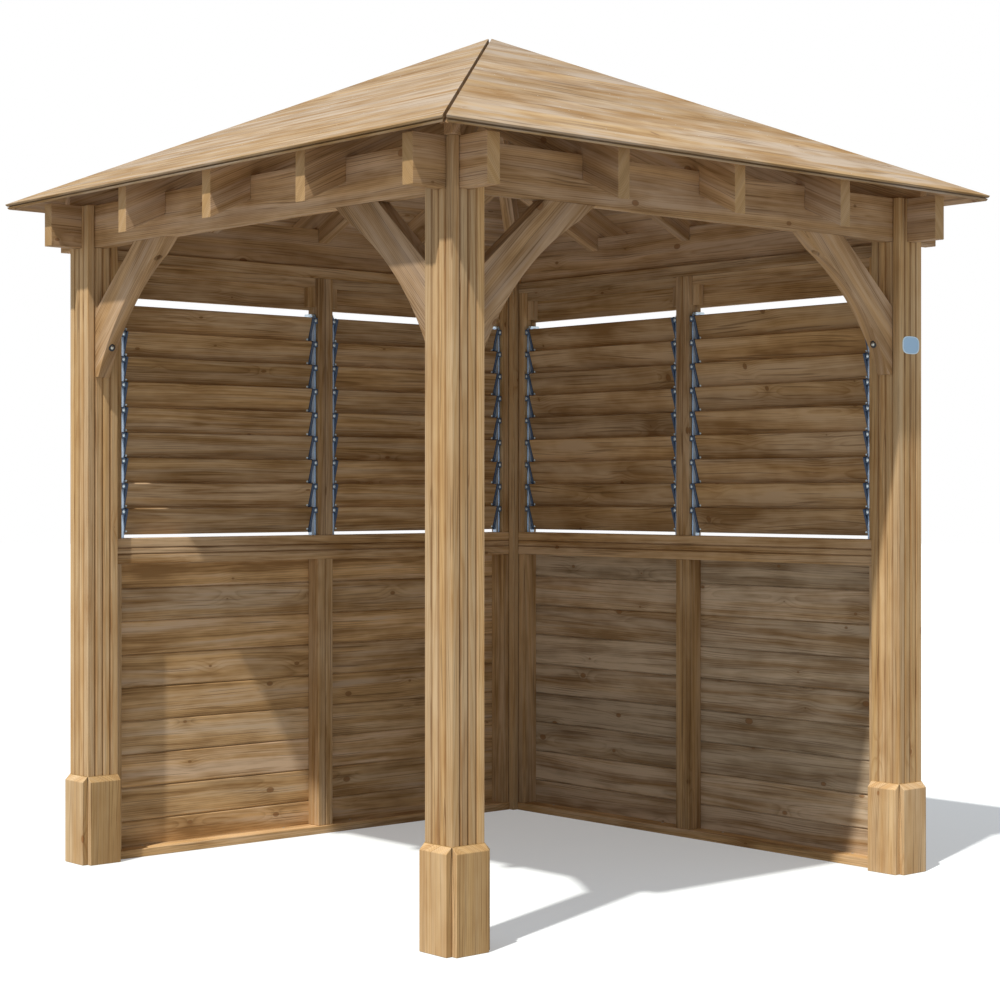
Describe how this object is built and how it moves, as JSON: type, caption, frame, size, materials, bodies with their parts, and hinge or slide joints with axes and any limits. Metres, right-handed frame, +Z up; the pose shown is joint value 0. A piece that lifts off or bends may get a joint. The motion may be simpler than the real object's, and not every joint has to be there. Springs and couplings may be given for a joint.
{
  "type": "garden gazebo",
  "caption": "Square timber garden gazebo with a pyramid roof, reeded posts and knee braces; two sides open, two closed with boards below and louvres above.",
  "frame": {"origin": "on the ground at the centre of the square plan", "axes": "+Z up; the open sides face -Y (front) and -X (left), the walls stand on +Y (back) and +X (right)"},
  "size_m": [2.3202, 2.3202, 2.74],
  "materials": {
    "post_wood": "planed, treated",
    "frame_wood": "planed, treated",
    "roof_wood": "planed, treated",
    "wall_wood": "planed, treated, weathered",
    "channel_metal": "satin",
    "clip_plastic": "matt"
  },
  "bodies": {
    "root": {"back_channels": "channel_metal", "back_clips": "clip_plastic", "back_head_rail": "wall_wood", "back_header_panels": "wall_wood", "back_louvres": "wall_wood", "back_mid_rail": "wall_wood", "back_sole_rail": "wall_wood", "back_stiles": "wall_wood", "back_wall_boards": "wall_wood", "beam_back": "frame_wood", "beam_front": "frame_wood", "beam_left": "frame_wood", "beam_right": "frame_wood", "brace_front_far": "frame_wood", "brace_front_near": "frame_wood", "brace_left_far": "frame_wood", "brace_left_near": "frame_wood", "crown_block": "frame_wood", "hip_rafters": "frame_wood", "plinth_back_left": "post_wood", "plinth_back_right": "post_wood", "plinth_front_left": "post_wood", "plinth_front_right": "post_wood", "post_back_left": "post_wood", "post_back_right": "post_wood", "post_front_left": "post_wood", "post_front_right": "post_wood", "rafters_back": "frame_wood", "rafters_front": "frame_wood", "rafters_left": "frame_wood", "rafters_right": "frame_wood", "right_channels": "channel_metal", "right_clips": "clip_plastic", "right_head_rail": "wall_wood", "right_header_panels": "wall_wood", "right_louvres": "wall_wood", "right_mid_rail": "wall_wood", "right_sole_rail": "wall_wood", "right_stiles": "wall_wood", "right_wall_boards": "wall_wood", "roof_back": "roof_wood", "roof_front": "roof_wood", "roof_left": "roof_wood", "roof_right": "roof_wood"}
  },
  "joints": []
}
